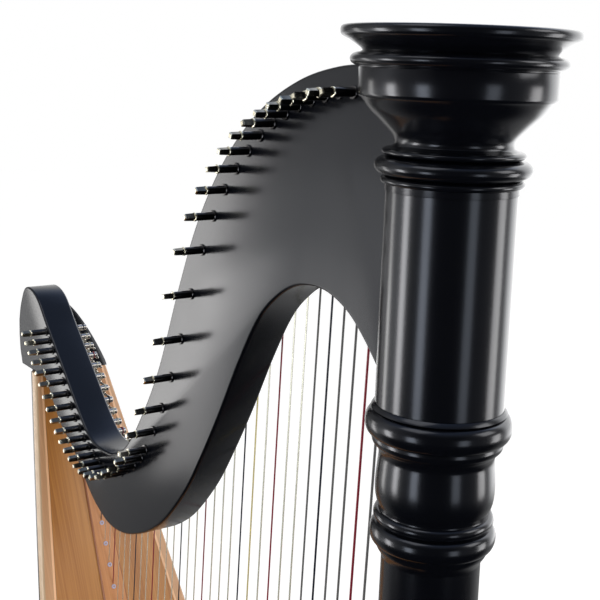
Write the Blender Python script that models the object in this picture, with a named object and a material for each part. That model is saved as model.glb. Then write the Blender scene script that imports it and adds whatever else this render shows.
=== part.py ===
"""A forty-string lever harp, standing on its feet.

+X is the front (the column), +Y the string side of the neck, +Z up. Metres.
The strings hang in the plane Y = 0. The neck and the column stand to its right.
"""

import math

import bmesh
import bpy
from mathutils import Matrix, Vector

# Driving dimensions. X in them is counted from the harp's own upright, ORIGIN_X.
HEIGHT = 1.6640
ORIGIN_X = 0.3128
GAP = 0.0003

STRINGS = 40
STRING_LEAN = math.radians(2.23)
FIRST_STRING = -0.0375
TREBLE_GAP = 0.0093
GAP_STEP = 0.000235
BASS_GAP = 0.0159
STRING_Y = 0.0020
LEVER_SHARE = 0.056

NECK_Y = -0.0235
NECK_THICK = 0.0350
NECK_END_X = 0.6120

COLUMN_X = 0.6303
COLUMN_Y = -0.0215
COLUMN_SIDES = 24
CAPITAL_FOOT = 1.5620
VASE_TOP = 1.4225
VASE_FOOT = 1.3170
FOOT_RINGS = 0.2300

BOARD_X = 0.0737
BOARD_Z = 1.1330
BOARD_SLOPE = 0.5018
BOARD_TOP = 1.2840
BOARD_THICK = 0.0045
TOP_HALF = 0.0432
SHOULDER_SPRING = 1.2860
SHOULDER_TOP = 1.3590

BASE_TOP = 0.1340
BASE_REAR = 0.3150
BASE_FRONT = 0.7020
BASE_HALF = 0.2160
BASE_WAIST_X = 0.5500
NOSE_HALF = 0.0980
NOSE_DEPTH = 0.0500
FOOT_HEIGHT = 0.0220

STRIP_THICK = 0.0022
SHELL_THICK = 0.0050
MOULDING_DEEP = 0.0150
LEDGE = 0.0060
RIB_DEEP = 0.0100
RIB_TALL = 0.0140
BACK_STEPS = 12
SIDE_LEAN = 0.42
MOST_DRAW_IN = 0.64
# Height, length and width of each oval sound hole, foot to shoulder
SOUND_HOLES = [
    (0.330, 0.130, 0.090), (0.540, 0.120, 0.080), (0.745, 0.110, 0.070), (0.940, 0.100, 0.056),
]

PIN_RADIUS = 0.0033
PIN_HEAD = 0.0034
PIN_REACH = 0.0274
PIN_SHOULDER = 0.0184
PIN_BACK = 0.0170
BRIDGE_RADIUS = 0.0016
BRIDGE_REACH = 0.0102

AXLE_Y = 0.0070
AXLE_RADIUS = 0.0010
BORE_RADIUS = 0.0014

# The neck's outline from the shoulder's back over the top to the column,
# then back along the underside. The pins follow a curve of their own.
NECK_TOP = [
    (-0.0590, 1.3360), (-0.0530, 1.3570), (-0.0383, 1.3769), (-0.0070, 1.3723),
    (0.0258, 1.3434), (0.0750, 1.3000), (0.1110, 1.2680), (0.1350, 1.2520),
    (0.1600, 1.2475), (0.1870, 1.2510), (0.2150, 1.2670), (0.2446, 1.3033),
    (0.2791, 1.3604), (0.3131, 1.4414), (0.3450, 1.5066), (0.3868, 1.5631),
    (0.4339, 1.6027), (0.4832, 1.6267), (0.5306, 1.6379), (0.5748, 1.6407),
]
NECK_UNDER = [
    (0.5880, 1.4375), (0.5720, 1.4540), (0.5530, 1.4690), (0.5310, 1.4780),
    (0.5110, 1.4798), (0.4886, 1.4754), (0.4651, 1.4622), (0.4413, 1.4399),
    (0.4160, 1.4002), (0.3870, 1.3468), (0.3583, 1.2990), (0.3336, 1.2625),
    (0.2996, 1.2247), (0.2733, 1.2039), (0.2445, 1.1879), (0.2121, 1.1762),
    (0.1800, 1.1742), (0.1500, 1.1840), (0.1267, 1.1986), (0.0940, 1.2245),
    (0.0600, 1.2430), (0.0400, 1.2620), (0.0270, 1.2760), (0.0190, BOARD_TOP + GAP),
]
PIN_CURVE = [
    (0.0207, 1.3380), (0.0600, 1.3015), (0.0975, 1.2635), (0.1310, 1.2415),
    (0.1630, 1.2310), (0.1960, 1.2335), (0.2230, 1.2475), (0.2510, 1.2690),
    (0.2880, 1.3265), (0.3190, 1.3950), (0.3550, 1.4840), (0.3910, 1.5405),
    (0.4400, 1.5855), (0.4870, 1.6085), (0.5340, 1.6198), (0.5530, 1.6208),
]


def clear_scene():
    for obj in list(bpy.data.objects):
        bpy.data.objects.remove(obj)


def paint(name, colour, roughness, metallic=0.0):
    """A plain Principled material."""
    made = bpy.data.materials.new(name)
    made.use_nodes = True
    shader = made.node_tree.nodes["Principled BSDF"]
    shader.inputs["Base Color"].default_value = (*colour, 1.0)
    shader.inputs["Roughness"].default_value = roughness
    shader.inputs["Metallic"].default_value = metallic
    return made


def finish_mesh(name, bm, material, sharp=35):
    """Turns a bmesh into a named object, its faces outward, smooth below the sharp angle."""
    bmesh.ops.recalc_face_normals(bm, faces=bm.faces)
    mesh = bpy.data.meshes.new(name)
    bm.to_mesh(mesh)
    bm.free()
    mesh.shade_smooth()
    mesh.set_sharp_from_angle(angle=math.radians(sharp))
    obj = bpy.data.objects.new(name, mesh)
    obj.data.materials.append(material)
    bpy.context.scene.collection.objects.link(obj)
    return obj


def place(x, y, z):
    """A point of the harp in the part's own frame."""
    return Vector((x - ORIGIN_X, y, z))


def skin(bm, loops):
    """Faces between loops of the same count, with a cap at both ends."""
    rings = [[bm.verts.new(p) for p in loop] for loop in loops]
    count = len(rings[0])
    for low, high in zip(rings[:-1], rings[1:]):
        for i in range(count):
            j = (i + 1) % count
            bm.faces.new((low[i], low[j], high[j], high[i]))
    bm.faces.new(rings[0][::-1])
    bm.faces.new(rings[-1])


def turned(name, profile, material, x=COLUMN_X, y=COLUMN_Y, sides=COLUMN_SIDES):
    """A solid turned about an upright axis. The profile is (radius, height), top to bottom."""
    bm = bmesh.new()
    loops = []
    for radius, height in profile:
        loop = []
        for i in range(sides):
            turn = 2 * math.pi * i / sides
            loop.append(place(x + radius * math.cos(turn), y + radius * math.sin(turn), height))
        loops.append(loop)
    skin(bm, loops)
    return finish_mesh(name, bm, material)


def bulge(radius, top, bottom, depth, steps=3):
    """A rounded bead of a turned profile, standing depth proud of radius."""
    points = []
    for i in range(steps + 1):
        turn = math.pi * i / steps
        height = top + (bottom - top) * (1 - math.cos(turn)) / 2
        points.append((radius + depth * math.sin(turn), height))
    return points


def smooth_curve(points, steps):
    """Points along a Catmull-Rom curve through the given ones, ends included."""
    ends = [points[0], *points, points[-1]]
    out = []
    for i in range(1, len(ends) - 2):
        p0, p1, p2, p3 = (Vector(p) for p in ends[i - 1 : i + 3])
        for j in range(steps):
            t = j / steps
            a = 2 * p1 + (p2 - p0) * t
            b = (2 * p0 - 5 * p1 + 4 * p2 - p3) * t**2
            c = (3 * p1 - p0 - 3 * p2 + p3) * t**3
            out.append((a + b + c) / 2)
    out.append(Vector(points[-1]))
    return out


def boolean(obj, other, operation, self_union=False):
    cut = obj.modifiers.new(operation.title(), "BOOLEAN")
    cut.operation = operation
    cut.solver = "EXACT"
    cut.use_self = self_union
    cut.object = other
    other.hide_render = True
    other.display_type = "WIRE"
    return cut


def bake(obj):
    """Applies the modifiers, so that copies can share the finished mesh."""
    graph = bpy.context.evaluated_depsgraph_get()
    mesh = bpy.data.meshes.new_from_object(obj.evaluated_get(graph))
    obj.modifiers.clear()
    obj.data = mesh


def box(bm, low, high):
    """A plain block between two corners, given in the harp's own X."""
    a, b = place(*low), place(*high)
    size = Matrix.Diagonal((*(b - a), 1))
    bmesh.ops.create_cube(bm, size=1, matrix=Matrix.Translation((a + b) / 2) @ size)


# Strings: where each one hangs, and what holds it

def string_offset(number):
    """How far string number hangs from the first, square to the strings."""
    gaps = (min(TREBLE_GAP + GAP_STEP * i, BASS_GAP) for i in range(number - 1))
    return FIRST_STRING + sum(gaps)


def string_x(number, z):
    return (string_offset(number) + z * math.sin(STRING_LEAN)) / math.cos(STRING_LEAN)


def string_radius(number):
    """Nylon thickens evenly; the six lowest are wound and thicker still."""
    if number > STRINGS - 6:
        return 0.00080 + 0.00004 * (number - STRINGS + 6)
    return 0.00035 + 0.00040 * (number - 1) / (STRINGS - 7)


def pin_shift(number):
    """Treble strings leave their pins on the rear side, the others pass straight under them."""
    return 0.0061 if number <= 21 else 0.0


def pin_place(number):
    """The tuning pin sits where the pin curve crosses its string."""
    curve = smooth_curve(PIN_CURVE, 8)
    for a, b in zip(curve[:-1], curve[1:]):
        ends = [p.x - pin_shift(number) - string_x(number, p.y) for p in (a, b)]
        if ends[0] <= 0 <= ends[1]:
            return a.lerp(b, ends[0] / (ends[0] - ends[1]))
    return curve[0] if number == 1 else curve[-1]


def bridge_z(number, pin):
    return pin.y - 0.013 - 0.011 * (number - 1) / (STRINGS - 1)


def board_x(z):
    return BOARD_X + (BOARD_Z - z) * BOARD_SLOPE


def board_meet_z(number):
    """Height at which a string reaches the soundboard's face."""
    lean = math.tan(STRING_LEAN)
    start = string_x(number, 0.0)
    return (BOARD_X + BOARD_Z * BOARD_SLOPE - start) / (lean + BOARD_SLOPE)


def lever_z(number, pin):
    """A lever stops its string a semitone up, at a fixed share of the sounding length."""
    bridge = bridge_z(number, pin)
    length = bridge - board_meet_z(number)
    return bridge - max(LEVER_SHARE * length, 0.0062)


def lever_size(number):
    """Levers come in three sizes, small for the treble."""
    if number <= 14:
        return 1.0
    return 1.15 if number <= 27 else 1.3


def along(x, y, z, up, out, side):
    """A point near a string: up along it, out from the neck, side towards the bass."""
    lean = STRING_LEAN
    return place(
        x + up * math.sin(lean) + side * math.cos(lean),
        y + out,
        z + up * math.cos(lean) - side * math.sin(lean),
    )


# The body: half-round shell, soundboard and their edges, all built on level sections

def half_width(z):
    """Half the body's width at a height. It widens downward a little less towards the foot."""
    down = BOARD_TOP - z
    return TOP_HALF + 0.170 * down - 0.0254 * down * down


def moulding_width(z):
    """Width of an edge strip on the body's front. It widens downward."""
    down = BOARD_TOP - z
    return 0.0078 + 0.030 * down - 0.012 * down * down


def shell_depth(z):
    """How far the shell reaches behind the soundboard's face, measured level."""
    share = (BOARD_TOP - z) / (BOARD_TOP - BASE_TOP)
    return 0.073 + 0.125 * share + 0.042 * share * share


def body_levels(count, low=BASE_TOP, high=BOARD_TOP):
    return [low + (high - low) * i / (count - 1) for i in range(count)]


def back_curve(x, z, wide, deep):
    """Points from the right edge round the back to the left edge, at height z.

    The sides lean in from the soundboard's edges, and the back is rounded.
    """
    draw_in = min(SIDE_LEAN * deep / wide, MOST_DRAW_IN)
    points = []
    for i in range(BACK_STEPS + 1):
        turn = math.pi * i / BACK_STEPS
        side = -wide * math.cos(turn) * (1 - draw_in * math.sin(turn))
        points.append(place(x - deep * math.sin(turn), side, z))
    return points


def make_shell(wood):
    """The soundbox's back, one bent shell with four oval sound holes in its rear."""
    bm = bmesh.new()
    loops = []
    set_back = MOULDING_DEEP + GAP
    for z in body_levels(7, BASE_TOP + GAP, BOARD_TOP - GAP):
        wide = half_width(z) - 0.0015
        deep = shell_depth(z) - set_back
        x = board_x(z) - set_back
        outer = back_curve(x, z, wide, deep)
        inner = back_curve(x, z, wide - SHELL_THICK, deep - SHELL_THICK)
        loops.append(outer + inner[::-1])
    skin(bm, loops)
    shell = finish_mesh("soundbox_shell", bm, wood)
    bm = bmesh.new()
    for z, tall, wide in SOUND_HOLES:
        back = board_x(z) - shell_depth(z)
        loops = []
        for x in (back - 0.050, back + 0.035):
            loop = []
            for i in range(16):
                turn = 2 * math.pi * i / 16
                loop.append(place(x, wide / 2 * math.cos(turn), z + tall / 2 * math.sin(turn)))
            loops.append(loop)
        skin(bm, loops)
    holes = finish_mesh("sound_hole_cutter", bm, wood)
    boolean(shell, holes, "DIFFERENCE")
    return shell


def make_soundboard(wood):
    bm = bmesh.new()
    loops = []
    for z in body_levels(8, BASE_TOP + GAP, BOARD_TOP - GAP):
        edge = half_width(z) - moulding_width(z) - GAP
        face = board_x(z)
        loops.append([
            place(face, -edge, z), place(face, edge, z),
            place(face - BOARD_THICK, edge, z), place(face - BOARD_THICK, -edge, z),
        ])
    skin(bm, loops)
    return finish_mesh("soundboard", bm, wood)


def make_moulding(name, side, wood):
    """A rebated edge strip that laps the board's edge and covers the shell's rim."""
    bm = bmesh.new()
    loops = []
    for z in body_levels(8, BASE_TOP + GAP, BOARD_TOP - GAP):
        edge = half_width(z)
        inner = moulding_width(z)
        ledge = inner + LEDGE
        section = [
            (0.0, -MOULDING_DEEP), (0.0, -0.0045), (0.0013, -0.0014), (0.0044, 0.0),
            (inner, 0.0), (inner, -BOARD_THICK - GAP),
            (ledge, -BOARD_THICK - GAP), (ledge, -MOULDING_DEEP),
        ]
        loops.append([place(board_x(z) + deep, side * (edge - across), z) for across, deep in section])
    skin(bm, loops)
    return finish_mesh(name, bm, wood)


def make_inner_rib(wood):
    """The hardwood bar behind the soundboard that the string knots pull against."""
    bm = bmesh.new()
    loops = []
    for z in body_levels(2, BASE_TOP + 0.0160, BOARD_TOP - 0.0100):
        face = board_x(z) - BOARD_THICK - GAP
        half = 0.0090 + 0.0050 * (BOARD_TOP - z)
        loops.append([
            place(face, -half, z), place(face, half, z),
            place(face - 0.0080, half, z), place(face - 0.0080, -half, z),
        ])
    skin(bm, loops)
    return finish_mesh("inner_string_bar", bm, wood)


def make_body_rib(name, low, wood):
    """A bent former glued round the inside of the shell."""
    bm = bmesh.new()
    loops = []
    gap = SHELL_THICK + 0.0020 + GAP
    for z in (low, low + RIB_TALL):
        x = board_x(z) - MOULDING_DEEP - GAP
        wide = half_width(z) - gap
        deep = shell_depth(z) - MOULDING_DEEP - gap
        outer = back_curve(x, z, wide, deep)
        inner = back_curve(x, z, wide - RIB_DEEP, deep - RIB_DEEP)
        loops.append(outer + inner[::-1])
    skin(bm, loops)
    return finish_mesh(name, bm, wood)


def make_bottom_board(wood):
    """The floor inside the shell, standing on the base."""
    bm = bmesh.new()
    loops = []
    gap = SHELL_THICK + 0.0025 + GAP
    for z in (BASE_TOP + GAP, BASE_TOP + 0.0120):
        x = board_x(z) - MOULDING_DEEP - GAP
        deep = shell_depth(z) - MOULDING_DEEP - gap
        loops.append(back_curve(x, z, half_width(z) - gap, deep))
    skin(bm, loops)
    return finish_mesh("bottom_board", bm, wood)


def arch_half_width(z):
    """The shoulder block's half width over its straight foot: a tall round arch."""
    rise = min(max((z - SHOULDER_SPRING) / (SHOULDER_TOP - SHOULDER_SPRING), 0.0), 1.0)
    return TOP_HALF * (1 - rise**1.1) ** 0.6


def make_shoulder(black):
    """The domed block that closes the body's top, cut away where the neck stands."""
    bm = bmesh.new()
    loops = []
    levels = [BOARD_TOP, 1.2900, 1.3000, 1.3120, 1.3240, 1.3350, 1.3440, 1.3510, 1.3560, 1.3586]
    for z in levels:
        wide = arch_half_width(z)
        deep = shell_depth(BOARD_TOP) * (0.35 + 0.65 * wide / TOP_HALF)
        loops.append(back_curve(board_x(z), z, wide, deep))
    skin(bm, loops)
    block = finish_mesh("shoulder_block", bm, black)
    bm = bmesh.new()
    left = NECK_Y + NECK_THICK / 2 + GAP
    box(bm, (-0.120, -0.080, BOARD_TOP - 0.0040), (0.050, left, 1.420))
    seat = finish_mesh("neck_seat_cutter", bm, black)
    boolean(block, seat, "DIFFERENCE")
    return block


# The neck with what is fixed in it

def neck_outline():
    """The closed outline: top curve, tenon in the column, underside, seat on the shoulder."""
    top = smooth_curve(NECK_TOP, 2)
    tenon = [Vector((NECK_END_X, NECK_TOP[-1][1])), Vector((NECK_END_X, NECK_UNDER[0][1]))]
    under = smooth_curve(NECK_UNDER, 2)
    seat = [Vector((-0.0490, NECK_UNDER[-1][1])), Vector((-0.0560, 1.3000)), Vector((-0.0588, 1.3180))]
    return top + tenon + under + seat


def make_neck_board(black):
    bm = bmesh.new()
    outline = neck_outline()
    loops = []
    for y in (NECK_Y - NECK_THICK / 2, NECK_Y + NECK_THICK / 2):
        loops.append([place(p.x, y, p.y) for p in outline])
    skin(bm, loops)
    neck = finish_mesh("neck", bm, black, 50)
    edge = neck.modifiers.new("Rounded edges", "BEVEL")
    edge.width = 0.0022
    edge.segments = 1
    edge.limit_method = "ANGLE"
    edge.angle_limit = math.radians(60)
    return neck


def rod_along_y(bm, x, z, rings, sides, turned_by=0.0):
    """A rod lying along Y through (x, z). Its rings are (y, radius)."""
    loops = []
    for y, radius in rings:
        turns = [turned_by + 2 * math.pi * i / sides for i in range(sides)]
        loops.append([place(x + radius * math.cos(t), y, z + radius * math.sin(t)) for t in turns])
    skin(bm, loops)


def add_tuning_pin(bm, number):
    """A tuning pin through the neck: square head on the right, string end on the left."""
    pin = pin_place(number)
    right = NECK_Y - NECK_THICK / 2
    left = NECK_Y + NECK_THICK / 2
    shoulder = right - PIN_SHOULDER
    rod_along_y(bm, pin.x, pin.y, [(shoulder, PIN_RADIUS), (left + PIN_BACK, PIN_RADIUS)], 6)
    head = [(right - PIN_REACH, PIN_HEAD), (shoulder + PIN_HEAD, PIN_HEAD)]
    rod_along_y(bm, pin.x, pin.y, head, 4, math.pi / 4)


def add_bridge_pin(bm, number):
    """The small pin that sets the top of the sounding length; the string bears on its rear."""
    pin = pin_place(number)
    z = bridge_z(number, pin)
    x = string_x(number, z) + string_radius(number) + BRIDGE_RADIUS + GAP
    left = NECK_Y + NECK_THICK / 2
    rings = [(left - 0.0040, BRIDGE_RADIUS), (left + BRIDGE_REACH, BRIDGE_RADIUS)]
    rod_along_y(bm, x, z, rings, 6)


def add_bracket(bm, number):
    """A lever's bracket: an ear each side of the string, with the axle between them."""
    pin = pin_place(number)
    z = lever_z(number, pin)
    x = string_x(number, z)
    size = lever_size(number)
    root = NECK_Y + NECK_THICK / 2 - 0.0020
    crest = AXLE_Y + 0.0022
    inner = 0.0025 * size
    outer = inner + 0.0009
    tall = 0.0034 * size
    for near, far in ((-outer, -inner), (inner, outer)):
        ear = [(near, root), (far, root), (far, crest), (near, crest)]
        skin(bm, [[along(x, out, z, up, 0, side) for side, out in ear] for up in (-tall, tall)])
    turns = [math.pi * i / 3 for i in range(6)]
    section = [(AXLE_RADIUS * math.sin(t), AXLE_RADIUS * math.cos(t)) for t in turns]
    ends = (-inner - 0.0005, inner + 0.0005)
    skin(bm, [[along(x, AXLE_Y, z, up, out, side) for up, out in section] for side in ends])


def make_neck(black):
    neck = make_neck_board(black)
    bm = bmesh.new()
    for number in range(1, STRINGS + 1):
        add_tuning_pin(bm, number)
        add_bridge_pin(bm, number)
        add_bracket(bm, number)
    fittings = finish_mesh("neck_fittings", bm, black, 50)
    boolean(neck, fittings, "UNION", self_union=True)
    return neck


# Sharpening levers

def lever_outline(size, string_r):
    """Outline about the axle at rest, as (out, up): hub, cam nose up, thumb blade out and down."""
    hub = 0.0027
    nose = AXLE_Y - STRING_Y - string_r - 0.00035
    blade = 0.0165 * size

    def polar(radius, degrees):
        turn = math.radians(degrees)
        return (radius * math.cos(turn), radius * math.sin(turn))

    body = [polar(hub, 30), polar(nose, 80), polar(nose, 100)]
    body += [polar(hub, degrees) for degrees in (145, 190, 235)]
    down = Vector(polar(1.0, -35))
    across = Vector((-down.y, down.x))
    tip = [(0.30, -0.0013), (0.85, -0.0016), (0.98, 0.0), (0.85, 0.0014), (0.30, 0.0013)]
    return body + [tuple(down * blade * far + across * half * size) for far, half in tip]


def lever_mesh(name, size, string_r, material):
    """One lever about its axle: X along the axle, Y out from the neck, Z up."""
    half = 0.0021 * size
    bm = bmesh.new()
    outline = lever_outline(size, string_r)
    skin(bm, [[Vector((side, out, up)) for out, up in outline] for side in (-half, half)])
    lever = finish_mesh(name, bm, material)
    bm = bmesh.new()
    bore = []
    for side in (-2 * half, 2 * half):
        turns = [math.pi * i / 3 for i in range(6)]
        circle = [(BORE_RADIUS * math.cos(t), BORE_RADIUS * math.sin(t)) for t in turns]
        bore.append([Vector((side, out, up)) for out, up in circle])
    skin(bm, bore)
    cutter = finish_mesh(name + "_bore", bm, material)
    boolean(lever, cutter, "DIFFERENCE")
    bpy.context.view_layer.update()
    bake(lever)
    bpy.data.objects.remove(cutter)
    return lever


def make_levers(steel):
    """Forty levers, each an object on its own axle, sharing a mesh with those of its size."""
    patterns = {}
    for number in range(1, STRINGS + 1):
        size = lever_size(number)
        if size not in patterns:
            widest = max(string_radius(n) for n in range(1, STRINGS + 1) if lever_size(n) == size)
            patterns[size] = lever_mesh("lever_pattern", size, widest, steel)
        pin = pin_place(number)
        z = lever_z(number, pin)
        lever = bpy.data.objects.new(f"lever_{number:02d}", patterns[size].data)
        lever.location = along(string_x(number, z), AXLE_Y, z, 0, 0, 0)
        lever.rotation_euler = (0, STRING_LEAN, 0)
        bpy.context.scene.collection.objects.link(lever)
    for pattern in patterns.values():
        bpy.data.objects.remove(pattern)


# Strings on their centre strip

def make_strings(wood):
    """The strip along the soundboard's middle, with the forty strings that rise from it."""
    bm = bmesh.new()
    loops = []
    for z in body_levels(2, BASE_TOP + GAP, BOARD_TOP - 0.0040):
        face = board_x(z) + GAP
        half = 0.0085 + 0.0220 * (BOARD_TOP - z)
        loops.append([
            place(face, -half, z), place(face, half, z),
            place(face + STRIP_THICK, half - 0.0010, z), place(face + STRIP_THICK, -half + 0.0010, z),
        ])
    skin(bm, loops)
    strip = finish_mesh("strings", bm, wood)
    bm = bmesh.new()
    for number in range(1, STRINGS + 1):
        pin = pin_place(number)
        radius = string_radius(number)
        foot = board_meet_z(number) + (radius + 2 * GAP) / (BOARD_SLOPE + math.tan(STRING_LEAN))
        bridge = bridge_z(number, pin)
        release = pin.x + (-1 if number <= 21 else 1) * (PIN_RADIUS + radius + GAP)
        route = [
            (string_x(number, foot), 0.0, foot),
            (string_x(number, bridge), STRING_Y, bridge),
            (release, STRING_Y, pin.y),
        ]
        loops = []
        for x, y, z in route:
            corners = ((radius, 0), (0, radius), (-radius, 0), (0, -radius))
            loops.append([place(x + dx, y + dy, z) for dx, dy in corners])
        skin(bm, loops)
    group = finish_mesh("string_group", bm, wood)
    boolean(strip, group, "UNION")
    return strip


# The column

def make_column(black):
    """Four turned pieces: capital, upper shaft, vase with its rings, and the long lower shaft."""
    capital = turned("capital", capital_profile(), black)
    shaft = turned("column_shaft", [(0.0422, CAPITAL_FOOT - GAP), (0.0424, VASE_TOP + GAP)], black)
    tenon = tenon_cutter(black)
    boolean(capital, tenon, "DIFFERENCE")
    boolean(shaft, tenon, "DIFFERENCE")
    turned("column_vase", vase_profile(), black)
    turned("column_foot", foot_profile(), black)


def capital_profile():
    """Rim, cone and bead, a plain drum, then a straight slope down to a triple ring."""
    return [
        (0.0722, HEIGHT), (0.0745, HEIGHT - 0.0014), (0.0747, HEIGHT - 0.0044), (0.0736, HEIGHT - 0.0066),
        (0.0662, 1.6534), (0.0616, 1.6500), (0.0602, 1.6480),
        *bulge(0.0622, 1.6476, 1.6390, 0.0060),
        (0.0622, 1.6380), (0.0625, 1.6222), (0.0610, 1.6200), (0.0584, 1.6176),
        (0.0538, 1.6115), (0.0458, 1.6038), (0.0402, 1.5979), (0.0378, 1.5941),
        (0.0376, 1.5915),
        *bulge(0.0410, 1.5890, 1.5840, 0.0046, 2),
        *bulge(0.0440, 1.5830, 1.5720, 0.0062, 4),
        *bulge(0.0425, 1.5710, 1.5660, 0.0033, 2),
        (0.0432, CAPITAL_FOOT),
    ]


def vase_profile():
    """Rings above and below a short waisted drum."""
    return [
        (0.0426, VASE_TOP), (0.0448, 1.4195),
        *bulge(0.0430, 1.4185, 1.4015, 0.0053, 4),
        (0.0432, 1.3972), (0.0402, 1.3942), (0.0386, 1.3915),
        (0.0382, 1.3870), (0.0392, 1.3760), (0.0396, 1.3660), (0.0388, 1.3590), (0.0366, 1.3515),
        *bulge(0.0372, 1.3500, 1.3425, 0.0030, 2),
        *bulge(0.0378, 1.3415, 1.3270, 0.0044, 4),
        (0.0372, 1.3240), (0.0350, 1.3205),
        (0.0335, VASE_FOOT),
    ]


def foot_profile():
    """The lower shaft swells a little downward and ends in a ringed foot on the base."""
    top = VASE_FOOT - GAP
    rings = FOOT_RINGS
    return [
        (0.0332, top), (0.0345, 0.9500), (0.0363, 0.6000), (0.0377, rings + 0.0290),
        *bulge(0.0390, rings + 0.0280, rings + 0.0200, 0.0030, 2),
        *bulge(0.0405, rings + 0.0180, rings + 0.0020, 0.0080),
        (0.0405, rings - 0.0200), (0.0420, rings - 0.0500),
        *bulge(0.0440, BASE_TOP + 0.0260, BASE_TOP + 0.0080, 0.0062),
        (0.0500, BASE_TOP + 0.0070), (0.0500, BASE_TOP + GAP),
    ]


def tenon_cutter(black):
    """The slot that the neck's end fills in the shaft and the capital."""
    bm = bmesh.new()
    half = NECK_THICK / 2 + GAP
    low = (0.5000, NECK_Y - half, NECK_UNDER[0][1] - GAP)
    high = (NECK_END_X + GAP, NECK_Y + half, NECK_TOP[-1][1] + GAP)
    box(bm, low, high)
    return finish_mesh("neck_tenon_cutter", bm, black)


# The base and its feet

def base_outline(inset):
    """Plan of the base: a half oval behind, its sides drawn in to a rounded front."""
    points = []
    for i in range(13):
        turn = math.pi * i / 12
        x = BASE_WAIST_X - (BASE_WAIST_X - BASE_REAR - inset) * math.sin(turn)
        points.append((x, -(BASE_HALF - inset) * math.cos(turn)))
    for i in range(9):
        turn = math.pi * i / 8
        x = BASE_FRONT - NOSE_DEPTH + (NOSE_DEPTH - inset) * math.sin(turn)
        points.append((x, (NOSE_HALF - inset) * math.cos(turn)))
    return points


def make_base(black):
    levels = [
        (0.0030, FOOT_HEIGHT + GAP), (0.0, FOOT_HEIGHT + 0.0035), (0.0, 0.0660), (0.0025, 0.0700),
        (0.0100, 0.0760), (0.0125, 0.0850), (0.0125, 0.1200), (0.0075, 0.1260),
        (0.0075, 0.1315), (0.0100, BASE_TOP),
    ]
    bm = bmesh.new()
    skin(bm, [[place(x, y, z) for x, y in base_outline(inset)] for inset, z in levels])
    return finish_mesh("base", bm, black)


def make_feet(black):
    spots = {
        "foot_rear_left": (0.4150, 0.1250), "foot_rear_right": (0.4150, -0.1250),
        "foot_front_left": (0.6450, 0.0700), "foot_front_right": (0.6450, -0.0700),
    }
    profile = [
        (0.0150, FOOT_HEIGHT), (0.0200, FOOT_HEIGHT - 0.0040), (0.0215, FOOT_HEIGHT - 0.0090),
        (0.0195, 0.0030), (0.0165, 0.0),
    ]
    for name, (x, y) in spots.items():
        turned(name, profile, black, x, y, 12)


def main():
    clear_scene()
    black = paint("black_lacquer", (0.012, 0.012, 0.014), 0.22)
    board = paint("soundboard_wood", (0.40, 0.17, 0.06), 0.35)
    maple = paint("pale_maple", (0.62, 0.42, 0.24), 0.35)
    strip = paint("centre_strip_wood", (0.42, 0.15, 0.07), 0.35)
    inner = paint("inner_spruce", (0.60, 0.44, 0.26), 0.6)
    steel = paint("lever_nickel", (0.62, 0.60, 0.55), 0.25, 1.0)
    make_neck(black)
    make_levers(steel)
    make_strings(strip)
    make_column(black)
    make_soundboard(board)
    make_moulding("edge_moulding_left", 1, maple)
    make_moulding("edge_moulding_right", -1, maple)
    make_shell(black)
    make_shoulder(black)
    make_inner_rib(maple)
    make_body_rib("body_rib_upper", 0.830, inner)
    make_body_rib("body_rib_lower", 0.430, inner)
    make_bottom_board(inner)
    make_base(black)
    make_feet(black)


main()
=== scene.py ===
"""Looks of a forty-string lever harp: black lacquer, nickel fittings, varnished soundboard.

+X is the front, where the column stands, +Y the string side of the neck, +Z up. Metres.
"""

import math

import bmesh
import bpy
from mathutils import Matrix, Vector


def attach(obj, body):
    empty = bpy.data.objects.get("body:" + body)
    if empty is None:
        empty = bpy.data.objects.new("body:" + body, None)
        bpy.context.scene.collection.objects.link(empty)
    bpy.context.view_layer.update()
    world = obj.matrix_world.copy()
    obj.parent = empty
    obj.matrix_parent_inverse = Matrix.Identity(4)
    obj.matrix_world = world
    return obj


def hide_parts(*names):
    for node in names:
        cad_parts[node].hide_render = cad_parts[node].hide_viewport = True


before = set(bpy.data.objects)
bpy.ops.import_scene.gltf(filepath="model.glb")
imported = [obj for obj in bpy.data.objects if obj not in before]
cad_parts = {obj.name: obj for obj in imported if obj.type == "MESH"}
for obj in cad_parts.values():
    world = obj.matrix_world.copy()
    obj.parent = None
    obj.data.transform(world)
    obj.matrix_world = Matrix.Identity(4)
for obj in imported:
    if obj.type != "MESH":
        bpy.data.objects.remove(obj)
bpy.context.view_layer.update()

# Camera. It stands close to the column's head, to the front and right, a little above it,
# looking down past the column at the neck, with a slight roll.
HEADING = math.radians(35.775)
DOWN = math.radians(9.327)
ROLL = math.radians(2.086)
CAMERA_PLACE = (0.83155, -0.5058, 1.6392)


def placed(name, data):
    """A new object in the scene."""
    thing = bpy.data.objects.new(name, data)
    bpy.context.scene.collection.objects.link(thing)
    return thing


forward = Vector((
    -math.cos(HEADING) * math.cos(DOWN), math.sin(HEADING) * math.cos(DOWN), -math.sin(DOWN),
))
right = Vector((math.sin(HEADING), math.cos(HEADING), 0.0))
above = right.cross(forward)
camera = placed("camera", bpy.data.cameras.new("camera"))
camera.data.lens = 66.47
camera.data.shift_x = -0.0066
camera.data.shift_y = -0.0918
camera.data.clip_start = 0.02
rightward = right * math.cos(ROLL) + above * math.sin(ROLL)
upward = above * math.cos(ROLL) - right * math.sin(ROLL)
facing = Matrix((rightward, upward, -forward)).transposed().to_4x4()
camera.matrix_world = Matrix.Translation(CAMERA_PLACE) @ facing
bpy.context.scene.camera = camera
bpy.context.scene.view_settings.view_transform = "Standard"

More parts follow.
